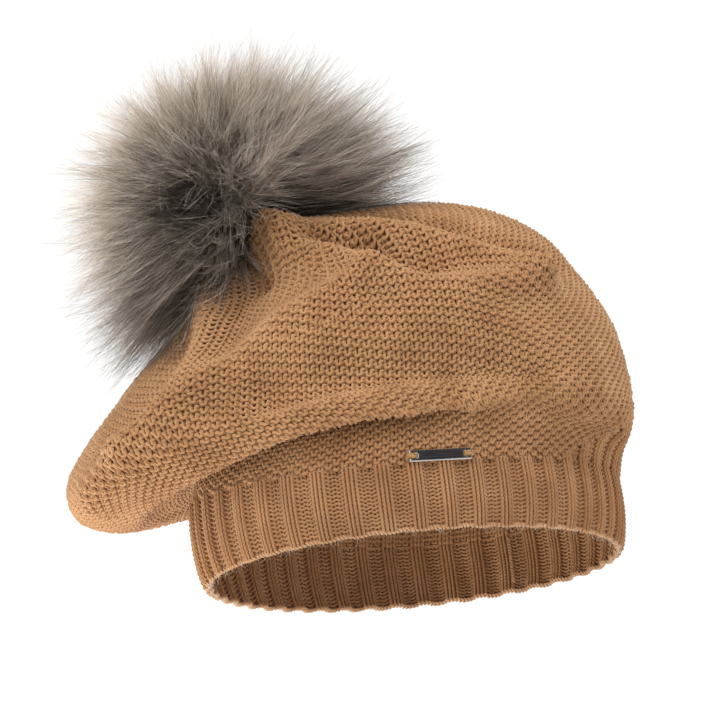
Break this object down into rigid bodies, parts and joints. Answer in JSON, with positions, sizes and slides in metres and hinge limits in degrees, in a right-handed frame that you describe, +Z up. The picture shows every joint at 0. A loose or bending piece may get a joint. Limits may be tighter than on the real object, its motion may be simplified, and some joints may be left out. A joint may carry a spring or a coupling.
{
  "type": "beret",
  "caption": "Slouched seed-stitch knitted beret with a ribbed head band, a small blank metal plate and a faux-fur pom held by a press stud.",
  "frame": {"origin": "centre of the head opening, on the plane of the brim's lower edge", "axes": "+Z up through the crown, -Y to the front where the plate is, +X to the wearer's left, away from the side the crown slouches to"},
  "size_m": [0.2296, 0.2319, 0.2114],
  "materials": {
    "knit": "camel seed-stitch knit, matte, slightly fuzzy",
    "rib_knit": "camel ribbed knit, matte, slightly fuzzy",
    "thread": "twisted golden-tan sewing yarn",
    "plate": "dark gunmetal, brushed face with bright bevelled edges, blank",
    "snap_metal": "nickel-plated press stud",
    "felt": "pressed felt",
    "label": "blank satin tape",
    "fur": "long taupe-grey faux fur with dark roots",
    "filling": "polyester fibre filling"
  },
  "bodies": {
    "hat": {"crown_shell": "knit", "rib_band": "rib_knit", "back_seam_cord": "rib_knit", "care_label": "label", "care_label_stitching": "thread", "name_plate": "plate", "plate_stitch_left": "thread", "plate_stitch_right": "thread", "crown_gather_thread": "thread", "snap_backing_disc": "felt", "snap_cap": "snap_metal", "snap_stud": "snap_metal"},
    "pom_socket": {"snap_socket": "snap_metal", "socket_rivet": "snap_metal"},
    "pom": {"pom_base_disc": "felt", "pom_fur_cover": "fur", "pom_filling": "filling", "pom_draw_thread": "thread"}
  },
  "joints": [
    {"name": "pom_pull_off", "type": "slide", "parent": "hat", "child": "pom_socket", "axis": [-0.4705, -0.0501, 0.881], "range_m": [0, 0.03]},
    {"name": "pom_spin", "type": "hinge", "parent": "pom_socket", "child": "pom", "pos_m": [-0.045, -0.003, 0.1355], "axis": [-0.4705, -0.0501, 0.881], "continuous": true}
  ]
}
